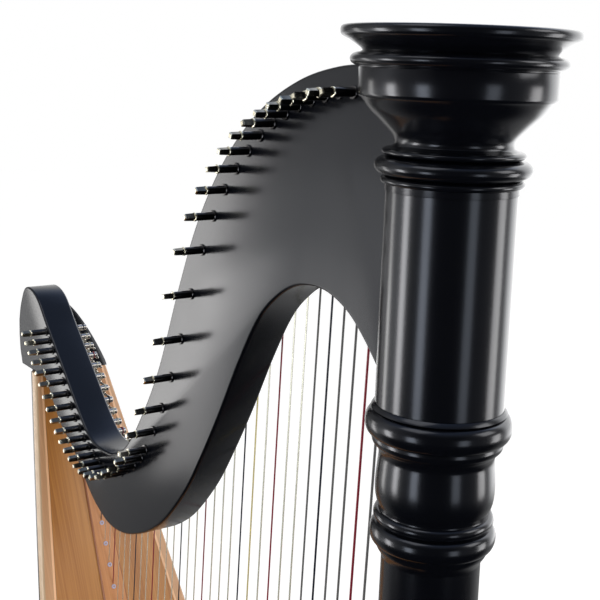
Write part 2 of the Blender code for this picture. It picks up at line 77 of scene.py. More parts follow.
# Studio lamps. Tall softboxes stand round the harp; their long reflections are the grey stripes
# on the column. The near one lights the neck's face, the high ones the pins and the wood. Each
# is set by its angle from the camera's side, left negative.
towards = Vector((-forward.x, -forward.y, 0.0)).normalized()
target = Vector((0.3175, -0.0215, 1.35))
WARM, COOL, WHITE = (1.0, 0.97, 0.93), (0.88, 0.93, 1.0), (1.0, 1.0, 1.0)


def softbox(
    name, degrees, radiance, width, low=0.50, high=1.64, distance=2.6, tint=WARM, seen=True,
):
    """A soft lamp from one height to another. Where it isn't seen, nothing reflects it."""
    turn = math.radians(degrees)
    out = towards * math.cos(turn) + right * math.sin(turn)
    lamp = bpy.data.lights.new(name, "AREA")
    lamp.shape = "RECTANGLE"
    lamp.size, lamp.size_y = width, high - low
    lamp.energy = radiance * math.pi * width * (high - low)
    lamp.color = tint
    holder = placed(name, lamp)
    place = Vector((target.x + out.x * distance, target.y + out.y * distance, (low + high) / 2))
    aim = (target - place).to_track_quat("-Z", "Y").to_matrix().to_4x4()
    holder.matrix_world = Matrix.Translation(place) @ aim
    holder.visible_camera = False
    holder.visible_glossy = seen


softbox("near_lamp", -119, 1.8, 0.17, 0.96, 1.31, 1.03)
softbox("strip_rear_left", -122, 3.4, 0.40, high=1.70)
softbox("strip_left", -87, 10.0, 0.54, high=1.60)
softbox("strip_front_left", -46, 4.2, 0.62, high=1.62, tint=COOL)
softbox("strip_front_right", 33, 1.9, 0.66, high=1.80, tint=COOL)
softbox("strip_right", 91, 5.6, 0.80, high=1.70)
softbox("high_right", 80, 3.5, 1.30, 2.30, 3.50)
softbox("top_box", -60, 1.6, 1.4, 2.85, 4.25, 1.2)
softbox("fill", 5, 0.75, 2.6, 0.9, 3.1, 3.4, tint=WHITE, seen=False)

# Surroundings. The room is white where the camera looks. Reflections meet that white behind the
# harp, dim walls at its sides, the dark of the studio in front of it and a bluish ceiling.
GLOW = (
    (-180, 1.30), (-162, 1.00), (-150, 0.15), (-135, 0.30), (-122, 0.30), (-112, 0.50),
    (-95, 0.75), (-75, 0.30), (-55, 0.20), (-32, 0.02), (28, 0.02), (50, 0.12), (75, 0.20),
    (108, 0.30), (122, 2.60), (150, 2.20), (180, 1.30),
)


def feed(tree, given, socket):
    """Links a socket to the given one, or sets it to the given value."""
    if isinstance(given, bpy.types.NodeSocket):
        tree.links.new(given, socket)
    else:
        socket.default_value = given


def add(tree, kind, **inputs):
    """A new node. Each input is named, with _ for a blank."""
    node = tree.nodes.new(kind)
    for name, given in inputs.items():
        feed(tree, given, node.inputs[name.replace("_", " ")])
    return node


def compute(tree, operation, *inputs):
    """The result of a math node."""
    node = tree.nodes.new("ShaderNodeMath")
    node.operation = operation
    for socket, given in zip(node.inputs, inputs):
        feed(tree, given, socket)
    return node.outputs["Value"]


def ranged(tree, value, start, end, low, high, step="LINEAR"):
    """The value taken from the range start to end over to the range low to high."""
    node = add(
        tree, "ShaderNodeMapRange", Value=value,
        From_Min=start, From_Max=end, To_Min=low, To_Max=high,
    )
    node.interpolation_type = step
    return node.outputs["Result"]


def pick(tree, factor, one, other):
    """One where the factor is 0, the other where it is 1."""
    return add(tree, "ShaderNodeMix", Factor=factor, A=one, B=other).outputs["Result"]


def blend(tree, factor, one, other, how="MIX"):
    """Two colours mixed by the factor."""
    node = tree.nodes.new("ShaderNodeMix")
    node.data_type = "RGBA"
    node.blend_type = how
    feed(tree, factor, node.inputs["Factor"])
    feed(tree, one, node.inputs[6])
    feed(tree, other, node.inputs[7])
    return node.outputs[2]


def ramp(tree, factor, stops, kind="LINEAR"):
    """A colour ramp through stops of (position, colour)."""
    node = add(tree, "ShaderNodeValToRGB", Fac=factor)
    node.color_ramp.interpolation = kind
    elements = node.color_ramp.elements
    while len(elements) < len(stops):
        elements.new(1.0)
    for element, (position, colour) in zip(elements, stops):
        element.position = position
        element.color = (*colour, 1.0)
    return node.outputs["Color"]


def glow_round(tree, vector):
    """How bright the studio is in each direction round the harp, for reflections."""
    turn = add(tree, "ShaderNodeMapping", Vector=vector, Rotation=(0.0, 0.0, HEADING))
    angle = add(tree, "ShaderNodeTexGradient", Vector=turn.outputs["Vector"])
    angle.gradient_type = "RADIAL"
    stops = [(degrees / 360 + 0.5, (level, level, level)) for degrees, level in GLOW]
    return ramp(tree, angle.outputs["Fac"], stops)


world = bpy.data.worlds.new("studio")
bpy.context.scene.world = world
world.use_nodes = True
world.cycles.sampling_method = "NONE"
tree = world.node_tree
sky = tree.nodes["Background"]
rays = tree.nodes.new("ShaderNodeLightPath").outputs
where = tree.nodes.new("ShaderNodeTexCoord").outputs["Generated"]
upwards = add(tree, "ShaderNodeSeparateXYZ", Vector=where).outputs["Z"]
high_up = ranged(tree, upwards, 0.45, 0.97, 0.0, 1.0, "SMOOTHSTEP")
walls = pick(tree, high_up, glow_round(tree, where), 0.30)
level = pick(tree, rays["Is Glossy Ray"], 0.50, walls)
level = pick(tree, rays["Is Transmission Ray"], level, 1.0)
feed(tree, pick(tree, rays["Is Camera Ray"], level, 1.0), sky.inputs["Strength"])
ceiling = compute(tree, "MULTIPLY", high_up, rays["Is Glossy Ray"])
bluish = blend(tree, ceiling, (1.0, 1.0, 1.0, 1.0), (0.72, 0.94, 1.42, 1.0))
feed(tree, bluish, sky.inputs["Color"])

# Floor. A wide pale sheet that keeps the harp's shadow and shows white in the picture. In
# reflections it is dark near the harp and as bright as the walls far off.
def blank(name):
    """A new material, its nodes and its shader."""
    made = bpy.data.materials.new(name)
    made.use_nodes = True
    return made, made.node_tree, made.node_tree.nodes["Principled BSDF"]


floor_mesh = bpy.data.meshes.new("studio_floor")
bm = bmesh.new()
bmesh.ops.create_grid(bm, x_segments=1, y_segments=1, size=14.0)
bm.to_mesh(floor_mesh)
bm.free()
floor = placed("studio_floor", floor_mesh)
paper, tree, shader = blank("white_paper")
shader.inputs["Roughness"].default_value = 0.9
shader.inputs["Specular IOR Level"].default_value = 0.0
shader.inputs["Emission Color"].default_value = (1.0, 1.0, 1.0, 1.0)
rays = tree.nodes.new("ShaderNodeLightPath").outputs
where = tree.nodes.new("ShaderNodeTexCoord").outputs["Object"]
distance = tree.nodes.new("ShaderNodeVectorMath")
distance.operation = "LENGTH"
feed(tree, where, distance.inputs[0])
far_off = ranged(tree, distance.outputs["Value"], 2.7, 4.6, 0.02, 1.0, "SMOOTHSTEP")
walls = compute(tree, "MULTIPLY", glow_round(tree, where), far_off)
behind = tree.nodes.new("ShaderNodeVectorMath")
behind.operation = "DOT_PRODUCT"
feed(tree, where, behind.inputs[0])
feed(tree, tuple(-towards), behind.inputs[1])
lit_behind = ranged(tree, behind.outputs["Value"], -0.2, 1.0, 0.0, 0.30, "SMOOTHSTEP")
level = pick(tree, rays["Is Camera Ray"], 0.0, 0.60)
level = pick(tree, rays["Is Glossy Ray"], level, compute(tree, "ADD", walls, lit_behind))
feed(tree, level, shader.inputs["Emission Strength"])
feed(tree, pick(tree, rays["Is Glossy Ray"], 0.80, 0.0), shader.inputs["Base Color"])
floor_mesh.materials.append(paper)

# Capital. A turned head of maple, lacquered black: rim, cove and bead, a plain drum, then a
# deep hollow down to three rings. It is glued on the shaft and hides the neck's end.
HEIGHT = 1.6640
COLUMN_X, COLUMN_Y = 0.3175, -0.0215


BLACK_LACQUER = (0.0022, 0.0026, 0.0042, 1.0)


def noise(tree, vector, scale, detail=2.0):
    node = add(tree, "ShaderNodeTexNoise", Vector=vector, Scale=scale, Detail=detail)
    return node.outputs["Fac"]


def bump(tree, shader, height, strength, distance):
    """Lets the height raise the shader's surface."""
    node = add(tree, "ShaderNodeBump", Height=height, Strength=strength, Distance=distance)
    feed(tree, node.outputs["Normal"], shader.inputs["Normal"])


def lacquer(name, roughness, colour=BLACK_LACQUER):
    """Polyester lacquer: slightly uneven gloss and the faintest orange peel."""
    made, tree, shader = blank(name)
    shader.inputs["Base Color"].default_value = colour
    shader.inputs["IOR"].default_value = 1.5
    # The specular tint paints a cool cast into every reflection, standing in for bluish studio
    # light.
    shader.inputs["Specular Tint"].default_value = (0.91, 0.95, 1.04, 1.0)
    where = tree.nodes.new("ShaderNodeTexCoord").outputs["Object"]
    cloud = noise(tree, where, 18.0, 3.0)
    gloss = ranged(tree, cloud, 0.0, 1.0, roughness - 0.03, roughness + 0.03)
    feed(tree, gloss, shader.inputs["Roughness"])
    bump(tree, shader, noise(tree, where, 420.0), 0.010, 0.001)
    return made


def shaped(name, bm, sharp=35):
    """Makes the faces an object, turned outwards and smooth below the sharp angle."""
    bmesh.ops.recalc_face_normals(bm, faces=bm.faces)
    mesh = bpy.data.meshes.new(name)
    bm.to_mesh(mesh)
    bm.free()
    mesh.shade_smooth()
    mesh.set_sharp_from_angle(angle=math.radians(sharp))
    return placed(name, mesh)


def fix(piece, material, body="harp", replaces=()):
    """Gives a shaped piece its finish and fixes it to its body."""
    piece.data.materials.clear()
    piece.data.materials.append(material)
    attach(piece, body)
    for node in replaces:
        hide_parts(node)
    return piece


def skin(bm, rings):
    """Faces between rings of the same count, with a cap at both ends."""
    count = len(rings[0])
    for low, high in zip(rings[:-1], rings[1:]):
        for i in range(count):
            j = (i + 1) % count
            bm.faces.new((low[i], low[j], high[j], high[i]))
    bm.faces.new(rings[0][::-1])
    bm.faces.new(rings[-1])


def loft(bm, loops):
    """A skin over loops of points."""
    skin(bm, [[bm.verts.new(p) for p in loop] for loop in loops])


def circle(count, first=0.0):
    """Angles evenly round a circle."""
    return [first + 2 * math.pi * i / count for i in range(count)]


def turned(name, profile, material, x=COLUMN_X, y=COLUMN_Y, sides=120, replaces=()):
    """A piece off the lathe. Its profile is (radius, height), from the top down."""
    bm = bmesh.new()
    loops = []
    for r, z in profile:
        loops.append([Vector((x + r * math.cos(t), y + r * math.sin(t), z)) for t in circle(sides)])
    loft(bm, loops)
    return fix(shaped(name, bm, 40), material, replaces=replaces)


def bead(radius, top, bottom, depth, steps=12):
    """The profile of a half-round ring."""
    points = []
    for i in range(steps + 1):
        turn = math.pi * i / steps
        height = top + (bottom - top) * (1 - math.cos(turn)) / 2
        points.append((radius + depth * math.sin(turn), height))
    return points


def smooth_curve(points, steps):
    """Points along a Catmull-Rom curve through the given ones."""
    ends = [points[0], *points, points[-1]]
    out = []
    for i in range(1, len(ends) - 2):
        p0, p1, p2, p3 = (Vector(p) for p in ends[i - 1 : i + 3])
        for j in range(steps):
            t = j / steps
            a = 2 * p1 + (p2 - p0) * t
            b = (2 * p0 - 5 * p1 + 4 * p2 - p3) * t**2
            c = (3 * p1 - p0 - 3 * p2 + p3) * t**3
            out.append((a + b + c) / 2)
    out.append(Vector(points[-1]))
    return out


gloss_black = lacquer("gloss_black_lacquer", 0.20)
flare = [
    (0.0603, 1.6196), (0.0583, 1.6173), (0.0540, 1.6115), (0.0478, 1.6055), (0.0420, 1.5998),
    (0.0387, 1.5960),
]
turned("capital_turning", [
    (0.0712, HEIGHT), (0.0733, HEIGHT - 0.0004), (0.0744, HEIGHT - 0.0014),
    (0.0747, HEIGHT - 0.0030), (0.0745, HEIGHT - 0.0052), (0.0738, HEIGHT - 0.0064),
    (0.0722, HEIGHT - 0.0073),
    *smooth_curve([(0.0690, 1.6552), (0.0654, 1.6528), (0.0621, 1.6505), (0.0604, 1.6487)], 3),
    *bead(0.0622, 1.6476, 1.6390, 0.0060),
    (0.0620, 1.6384), (0.0624, 1.6376), (0.0625, 1.6222), (0.0619, 1.6206),
    *smooth_curve([*flare, (0.0376, 1.5926), (0.0382, 1.5905)], 3),
    *bead(0.0410, 1.5890, 1.5840, 0.0046),
    *bead(0.0440, 1.5830, 1.5720, 0.0062),
    *bead(0.0425, 1.5710, 1.5660, 0.0033),
    (0.0426, 1.5645), (0.0428, 1.5620),
], gloss_black, replaces=("capital",))

# Column. Upper shaft, ringed vase and the long lower shaft, turned and dowelled together.
# The neck's end fills a slot in the upper shaft and the capital.
turned("upper_shaft_turning", [
    (0.0422, 1.5617), (0.0424, 1.4228),
], gloss_black, replaces=("column_shaft",))
turned("vase_turning", [
    (0.0426, 1.4225), (0.0440, 1.4212), (0.0448, 1.4198),
    *bead(0.0430, 1.4186, 1.4015, 0.0054, 16),
    *smooth_curve([(0.0436, 1.3996), (0.0428, 1.3962), (0.0398, 1.3930), (0.0383, 1.3895)], 3),
    *smooth_curve([
        (0.0382, 1.3870), (0.0390, 1.3780), (0.0396, 1.3680), (0.0390, 1.3590), (0.0366, 1.3512),
    ], 3),
    *bead(0.0368, 1.3502, 1.3428, 0.0032),
    *bead(0.0378, 1.3418, 1.3272, 0.0042, 16),
    (0.0378, 1.3255), (0.0362, 1.3222), (0.0345, 1.3200), (0.0335, 1.3170),
], gloss_black, replaces=("column_vase",))
turned("lower_shaft_turning", [
    (0.0332, 1.3167), (0.0345, 0.9500), (0.0363, 0.6000), (0.0377, 0.2590),
    *bead(0.0390, 0.2580, 0.2500, 0.0030),
    *bead(0.0405, 0.2480, 0.2320, 0.0080),
    (0.0405, 0.2100), (0.0410, 0.1950), (0.0420, 0.1800),
    *bead(0.0440, 0.1600, 0.1420, 0.0062),
    (0.0496, 0.1412), (0.0500, 0.1408), (0.0500, 0.1343),
], gloss_black, replaces=("column_foot",))

# Neck. A laminated maple board sawn to its curve, edges rounded, lacquered black. The left
# half of its tenon shows nowhere, being inside the column.
ORIGIN_X = 0.3128
NECK_Y, NECK_THICK = -0.0235, 0.0350
NECK_TOP = [
    (-0.0590, 1.3360), (-0.0530, 1.3570), (-0.0383, 1.3769), (-0.0070, 1.3723),
    (0.0258, 1.3434), (0.0750, 1.3000), (0.1110, 1.2680), (0.1350, 1.2520),
    (0.1600, 1.2475), (0.1870, 1.2510), (0.2150, 1.2670), (0.2446, 1.3033),
    (0.2791, 1.3604), (0.3131, 1.4414), (0.3450, 1.5066), (0.3868, 1.5631),
    (0.4339, 1.6027), (0.4832, 1.6267), (0.5306, 1.6379), (0.5748, 1.6407),
]
NECK_UNDER = [
    (0.5880, 1.4375), (0.5720, 1.4540), (0.5530, 1.4690), (0.5310, 1.4780),
    (0.5110, 1.4798), (0.4886, 1.4754), (0.4651, 1.4622), (0.4413, 1.4399),
    (0.4160, 1.4002), (0.3870, 1.3468), (0.3583, 1.2990), (0.3336, 1.2625),
    (0.2996, 1.2247), (0.2733, 1.2039), (0.2445, 1.1879), (0.2121, 1.1762),
    (0.1800, 1.1742), (0.1500, 1.1840), (0.1267, 1.1986), (0.0940, 1.2245),
    (0.0600, 1.2430), (0.0400, 1.2620), (0.0270, 1.2760), (0.0190, 1.2843),
]
outline = smooth_curve(NECK_TOP, 8)
outline += [Vector((0.6120, 1.6407)), Vector((0.6120, 1.4375))]
outline += smooth_curve(NECK_UNDER, 8)
outline += [Vector((-0.0490, 1.2843)), Vector((-0.0560, 1.3000)), Vector((-0.0588, 1.3180))]
inward = []
for i in range(len(outline)):
    run = outline[(i + 1) % len(outline)] - outline[i - 1]
    inward.append(Vector((run.y, -run.x)).normalized())
EDGE = 0.0024
EDGE_STEPS = 6
section = []
for i in range(EDGE_STEPS + 1):
    turn = math.pi / 2 * i / EDGE_STEPS
    section.append((EDGE * (1 - math.sin(turn)), -NECK_THICK / 2 + EDGE * (1 - math.cos(turn))))
section += [(inset, -y) for inset, y in reversed(section)]
bm = bmesh.new()
loops = []
for inset, y in section:
    loops.append([
        Vector((p.x + n.x * inset - ORIGIN_X, NECK_Y + y, p.y + n.y * inset))
        for p, n in zip(outline, inward)
    ])
loft(bm, loops)
satin_black = lacquer("satin_black_lacquer", 0.19)
fix(shaped("neck_board", bm, 60), satin_black, replaces=("neck",))

# Tuning pins. Forty blued steel pins driven through the neck, one to a string. Each has a dark
# collar at the neck's face, a turned shoulder and a tapered square head for the key. The bright
# ring at the shoulder and the bright end of the head are nickel, lightened with painted highlight.
STRINGS = 40
LEAN = math.radians(2.23)
RIGHT_FACE = NECK_Y - NECK_THICK / 2
LEFT_FACE = NECK_Y + NECK_THICK / 2
PIN_RADIUS = 0.0033
REAR_SIDE = 21  # strings up to this one leave their pins on the rear side
FIRST_STRING = -0.0375
TREBLE_GAP, GAP_STEP, BASS_GAP = 0.0093, 0.000235, 0.0159
PIN_CURVE = [
    (0.0207, 1.3380), (0.0600, 1.3015), (0.0975, 1.2635), (0.1310, 1.2415),
    (0.1630, 1.2310), (0.1960, 1.2335), (0.2230, 1.2475), (0.2510, 1.2690),
    (0.2880, 1.3265), (0.3190, 1.3950), (0.3550, 1.4840), (0.3910, 1.5405),
    (0.4400, 1.5855), (0.4870, 1.6085), (0.5340, 1.6198), (0.5530, 1.6208),
]


def string_x(number, z):
    """The strings stand a little closer in the treble, and all lean towards the column."""
    offset = FIRST_STRING
    for i in range(number - 1):
        offset += min(TREBLE_GAP + GAP_STEP * i, BASS_GAP)
    return (offset + z * math.sin(LEAN)) / math.cos(LEAN)


def pin_place(number):
    """Where the curve of the pins crosses a string, set over to the side it leaves from."""
    shift = 0.0061 if number <= REAR_SIDE else 0.0
    curve = smooth_curve(PIN_CURVE, 8)
    for a, b in zip(curve[:-1], curve[1:]):
        ends = [p.x - shift - string_x(number, p.y) for p in (a, b)]
        if ends[0] <= 0 <= ends[1]:
            return a.lerp(b, ends[0] / (ends[0] - ends[1]))
    return curve[0] if number == 1 else curve[-1]


def rod(bm, rings, sides, first=0.0):
    """A turned or squared rod along Y. Its rings are (distance along it, radius)."""
    turns = circle(sides, first)
    loft(bm, [[Vector((r * math.cos(t), y, r * math.sin(t))) for t in turns] for y, r in rings])


def node_group(name, **inputs):
    """A node group for a mesh, with the named inputs and a finish. Gives its input sockets too."""
    tree = bpy.data.node_groups.new(name, "GeometryNodeTree")
    for label, kind in {"Geometry": "Geometry", **inputs, "Finish": "Material"}.items():
        tree.interface.new_socket(label, in_out="INPUT", socket_type="NodeSocket" + kind)
    tree.interface.new_socket("Geometry", in_out="OUTPUT", socket_type="NodeSocketGeometry")
    return tree, tree.nodes.new("NodeGroupInput").outputs


def close_group(tree, given, geometry):
    """Makes the geometry real, gives it its finish and hands it out."""
    solid = add(tree, "GeometryNodeRealizeInstances", Geometry=geometry)
    coat = add(
        tree, "GeometryNodeSetMaterial",
        Geometry=solid.outputs["Geometry"], Material=given["Finish"],
    )
    add(tree, "NodeGroupOutput", Geometry=coat.outputs["Geometry"])
    return tree


def fitting_nodes():
    """Nodes that set a copy of a pattern on every point, each spun by chance about Y."""
    tree, given = node_group("set_fittings", Pattern="Object", Spin="Float")
    pattern = add(tree, "GeometryNodeObjectInfo", Object=given["Pattern"], As_Instance=True)
    chance = add(tree, "FunctionNodeRandomValue", Seed=7)
    feed(tree, compute(tree, "MULTIPLY", given["Spin"], -1.0), chance.inputs[2])
    feed(tree, given["Spin"], chance.inputs[3])
    turn = add(tree, "ShaderNodeCombineXYZ", Y=chance.outputs[1])
    size = add(tree, "GeometryNodeInputNamedAttribute", Name="size")
    copies = add(
        tree, "GeometryNodeInstanceOnPoints", Points=given["Geometry"],
        Instance=pattern.outputs["Geometry"], Rotation=turn.outputs["Vector"],
        Scale=size.outputs["Attribute"],
    )
    return close_group(tree, given, copies.outputs["Instances"])


def settle(piece, modifier):
    """Keeps what the modifier makes as the piece's plain mesh."""
    graph = bpy.context.evaluated_depsgraph_get()
    mesh = bpy.data.meshes.new_from_object(piece.evaluated_get(graph))
    piece.modifiers.remove(modifier)
    piece.data = mesh


def grow(piece, tree, values):
    """Runs a node group on the piece."""
    nodes = piece.modifiers.new("grow", "NODES")
    nodes.node_group = tree
    for item in tree.interface.items_tree:
        if item.in_out == "INPUT" and item.name in values:
            nodes[item.identifier] = values[item.name]
    settle(piece, nodes)


set_fittings = fitting_nodes()


def repeat(name, pattern, places, material, spin=0.0, sizes=None):
    """Copies of the pattern, one at each place, as one piece fixed to the neck."""
    points = bpy.data.meshes.new(name)
    points.from_pydata(places, [], [])
    size = points.attributes.new("size", "FLOAT", "POINT")
    size.data.foreach_set("value", sizes or [1.0] * len(places))
    piece = placed(name, points)
    grow(piece, set_fittings, {"Pattern": pattern, "Spin": spin, "Finish": material})
    bpy.data.objects.remove(pattern)
    return fix(piece, material)


def banded_steel(name, bands, roughness=0.22, last=0.02):
    """Steel whose colour changes along Y. The bands are (where each begins, colour)."""
    made, tree, shader = blank(name)
    shader.inputs["Metallic"].default_value = 1.0
    where = tree.nodes.new("ShaderNodeTexCoord").outputs["Object"]
    along = add(tree, "ShaderNodeSeparateXYZ", Vector=where).outputs["Y"]
    first = bands[0][0]
    share = ranged(tree, along, first, last, 0.0, 1.0)
    stops = [((begin - first) / (last - first), colour) for begin, colour in bands]
    feed(tree, ramp(tree, share, stops, "CONSTANT"), shader.inputs["Base Color"])
    wear = noise(tree, where, 900.0)
    rubbed = ranged(tree, wear, 0.0, 1.0, roughness - 0.08, roughness + 0.10)
    feed(tree, rubbed, shader.inputs["Roughness"])
    return made


# The bright bands at the head's end and the shoulder ring are nickel plus a painted highlight.
SHOULDER = RIGHT_FACE - 0.0184
TIP = RIGHT_FACE - 0.0274
DARK_STEEL = (0.085, 0.083, 0.085)
NICKEL_AND_PAINTED_GLINT = (0.90, 0.85, 0.68)
SHORT_TAILS = 20  # the treble pins, whose ends stand less far out
pin_steel_and_glints = banded_steel("blued_nickelled_steel_painted_glints", [
    (TIP - 0.001, NICKEL_AND_PAINTED_GLINT), (TIP + 0.0010, (0.20, 0.19, 0.16)),
    (SHOULDER - 0.0004, NICKEL_AND_PAINTED_GLINT), (SHOULDER + 0.0013, DARK_STEEL),
    (LEFT_FACE + 0.002, (0.50, 0.48, 0.46)),
])


def pin_pattern(end):
    """A pin from its square head to its end beyond the string."""
    bm = bmesh.new()
    rod(bm, [
        (SHOULDER - 0.0001, 0.0026), (SHOULDER, 0.0033), (SHOULDER + 0.0003, 0.0037),
        (SHOULDER + 0.0012, 0.0037), (SHOULDER + 0.0014, PIN_RADIUS - 0.0002),
        (SHOULDER + 0.0020, PIN_RADIUS), (RIGHT_FACE - 0.0013, PIN_RADIUS),
        (RIGHT_FACE - 0.0012, 0.0044), (RIGHT_FACE - 0.0009, 0.0048), (RIGHT_FACE + 0.0004, 0.0048),
        (RIGHT_FACE + 0.0005, PIN_RADIUS), (end - 0.0005, PIN_RADIUS), (end, PIN_RADIUS - 0.0005),
    ], 20)
    rod(bm, [
        (TIP, 0.0020), (TIP + 0.0003, 0.0026), (TIP + 0.0010, 0.0030), (SHOULDER + 0.0004, 0.0034),
    ], 4, math.pi / 4)
    return shaped("tuning_pin", bm, 30)


places = [(pin.x - ORIGIN_X, 0.0, pin.y) for pin in map(pin_place, range(1, STRINGS + 1))]
treble, bass = places[:SHORT_TAILS], places[SHORT_TAILS:]
repeat("treble_tuning_pins", pin_pattern(LEFT_FACE + 0.0124), treble, pin_steel_and_glints, spin=0.75)
repeat("bass_tuning_pins", pin_pattern(LEFT_FACE + 0.0170), bass, pin_steel_and_glints, spin=0.75)

# Bridge pins. Small grooved brass pins in the neck's left face, which the strings bear on at
# the top of their sounding length. Each is pressed into the neck.
def string_radius(number):
    """Nylon thickens evenly towards the bass; the six lowest strings are wound."""
    if number > STRINGS - 6:
        return 0.00080 + 0.00004 * (number - STRINGS + 6)
    return 0.00035 + 0.00040 * (number - 1) / (STRINGS - 7)


def bridge_z(number):
    """Height of a string's bridge pin, a little below its tuning pin."""
    return pin_place(number).y - 0.013 - 0.011 * (number - 1) / (STRINGS - 1)


STRING_Y = 0.0020
BRIDGE_RADIUS = 0.0016
brass = banded_steel("polished_brass", [(-0.02, (0.78, 0.58, 0.28))], 0.20)
bm = bmesh.new()
rod(bm, [
    (LEFT_FACE - 0.0040, BRIDGE_RADIUS), (STRING_Y - 0.0016, BRIDGE_RADIUS),
    (STRING_Y - 0.0007, 0.0014), (STRING_Y + 0.0007, 0.0014), (STRING_Y + 0.0014, BRIDGE_RADIUS),
    (LEFT_FACE + 0.0098, BRIDGE_RADIUS), (LEFT_FACE + 0.0102, BRIDGE_RADIUS - 0.0004),
], 16)
places = []
for number in range(1, STRINGS + 1):
    z = bridge_z(number)
    x = string_x(number, z) + string_radius(number) + BRIDGE_RADIUS + 0.0003
    places.append((x - ORIGIN_X, 0.0, z))
repeat("bridge_pins", shaped("bridge_pin", bm, 40), places, brass)

# Lever brackets. Two nickelled ears stand each side of a string, with the lever's axle between
# them; they are screwed to the neck's left face. They come in three sizes.
AXLE_Y = 0.0070
BOARD_X, BOARD_Z, BOARD_SLOPE = 0.0737, 1.1330, 0.5018


def board_meet_z(number):
    """Height at which a string reaches the soundboard."""
    ahead = BOARD_X + BOARD_Z * BOARD_SLOPE - string_x(number, 0.0)
    return ahead / (math.tan(LEAN) + BOARD_SLOPE)


def lever_place(number):
    """A lever's axle, at a fixed share of the string's sounding length below its bridge pin."""
    bridge = bridge_z(number)
    z = bridge - max(0.056 * (bridge - board_meet_z(number)), 0.0062)
    return Vector((string_x(number, z) - ORIGIN_X, AXLE_Y, z))


def lever_size(number):
    """The thicker strings have larger levers."""
    if number <= 14:
        return 1.0
    return 1.15 if number <= 27 else 1.3


nickel = banded_steel("nickel_plate", [(-0.02, (0.66, 0.63, 0.57))], 0.24)
bm = bmesh.new()
leant = Matrix.Rotation(LEAN, 4, "Y")
ROOT = LEFT_FACE - AXLE_Y
for side in (-1, 1):
    near, far = side * 0.0025, side * 0.0034
    ear = [
        (ROOT - 0.0010, -0.0034), (ROOT - 0.0010, 0.0034), (0.0004, 0.0034), (0.0015, 0.0028),
        (0.0021, 0.0016), (0.0022, 0.0), (0.0021, -0.0016), (0.0015, -0.0028), (0.0004, -0.0034),
    ]
    loft(bm, [[leant @ Vector((x, out, up)) for out, up in ear] for x in (near, far)])
    flange = [
        (ROOT - 0.0010, -0.0034), (ROOT - 0.0010, 0.0034), (ROOT + 0.0007, 0.0034),
        (ROOT + 0.0007, -0.0034),
    ]
    ends = (side * 0.0033, side * 0.0044)
    loft(bm, [[leant @ Vector((x, out, up)) for out, up in flange] for x in ends])
for first, last, thick in (
    (-0.0038, 0.0038, 0.0010), (-0.0041, -0.0036, 0.0014), (0.0036, 0.0041, 0.0014),
):
    ring = [(thick * math.cos(t), thick * math.sin(t)) for t in circle(16)]
    loft(bm, [[leant @ Vector((x, out, up)) for out, up in ring] for x in (first, last)])
places = [lever_place(number) for number in range(1, STRINGS + 1)]
sizes = [lever_size(number) for number in range(1, STRINGS + 1)]
repeat("lever_brackets", shaped("lever_bracket", bm, 30), places, nickel, sizes=sizes)

# Levers. Forty nickelled sharpening levers, each on its own axle, shown disengaged. A cam
# presses the string when the rounded thumb blade is turned up.
HUB = 0.0027
BLADE = (
    (0.26, -0.0012), (0.50, -0.0010), (0.72, -0.0013), (0.88, -0.0016), (0.95, -0.0013),
    (0.985, -0.0006), (0.985, 0.0006), (0.95, 0.0012), (0.88, 0.0014), (0.72, 0.0011),
    (0.50, 0.0009), (0.26, 0.0012),
)


def lever_pattern(size, string_r):
    """One lever about its axle: X along the axle, Y out from the neck, Z up."""
    nose = AXLE_Y - STRING_Y - string_r - 0.00035
    cam = []
    for degrees in range(30, 81, 10):
        share = (degrees - 30) / 50
        reach = HUB + (nose - HUB) * share * share * (3 - 2 * share)
        cam.append((reach, degrees))
    cam += [(nose + 0.0001, 90), (nose, 100), (nose - 0.0006, 112), (0.0029, 130)]
    cam += [(HUB, degrees) for degrees in range(145, 281, 15)]
    points = []
    for r, degrees in cam:
        turn = math.radians(degrees)
        points.append(Vector((r * math.cos(turn), r * math.sin(turn))))
    down = Vector((math.cos(math.radians(-35)), math.sin(math.radians(-35))))
    across = Vector((-down.y, down.x))
    blade = 0.0165 * size
    middle = [Vector((0.0, 0.0))] * len(points) + [down * blade * 0.6] * len(BLADE)
    points += [down * blade * far + across * half * size for far, half in BLADE]
    bm = bmesh.new()
    wide = 0.0021 * size
    loops = []
    for x, share in ((-wide, 0.93), (-wide * 0.90, 1.0), (wide * 0.90, 1.0), (wide, 0.93)):
        loops.append([Vector((x, *(m + (p - m) * share))) for p, m in zip(points, middle)])
    loft(bm, loops)
    return shaped("lever_pattern", bm, 50)


for number in range(1, STRINGS + 1):
    size = lever_size(number)
    widest = max(string_radius(n) for n in range(1, STRINGS + 1) if lever_size(n) == size)
    lever = lever_pattern(size, widest)
    node = f"lever_{number:02d}"
    lever.name = f"{node}_plate"
    lever.data.transform(Matrix.Translation(lever_place(number)) @ leant)
    fix(lever, nickel, body=f"{node}_body", replaces=(node,))

# Strings. Nylon from F at the top to the low wound bass strings, C red and F black. Each rises
# from the soundboard, bears on its bridge pin and is wound round its tuning pin.
def string_route(number):
    """Points up the string and round its pin, from the soundboard to the last winding."""
    pin = pin_place(number)
    radius = string_radius(number)
    foot = board_meet_z(number)
    bridge = bridge_z(number)
    points = [Vector((string_x(number, foot) - ORIGIN_X, 0.0, foot))]
    points.append(Vector((string_x(number, bridge) - ORIGIN_X, STRING_Y, bridge)))
    side = -1 if number <= REAR_SIDE else 1
    around = PIN_RADIUS + radius + 0.0001
    turns = 1.4 if number <= SHORT_TAILS else 3.2
    for i in range(int(turns * 12) + 1):
        angle = 2 * math.pi * i / 12
        away = Vector((side * math.cos(angle), 0.0, math.sin(angle))) * around
        y = STRING_Y + (2 * radius + 0.00008) * i / 12
        points.append(Vector((pin.x - ORIGIN_X, y, pin.y)) + away)
    return points


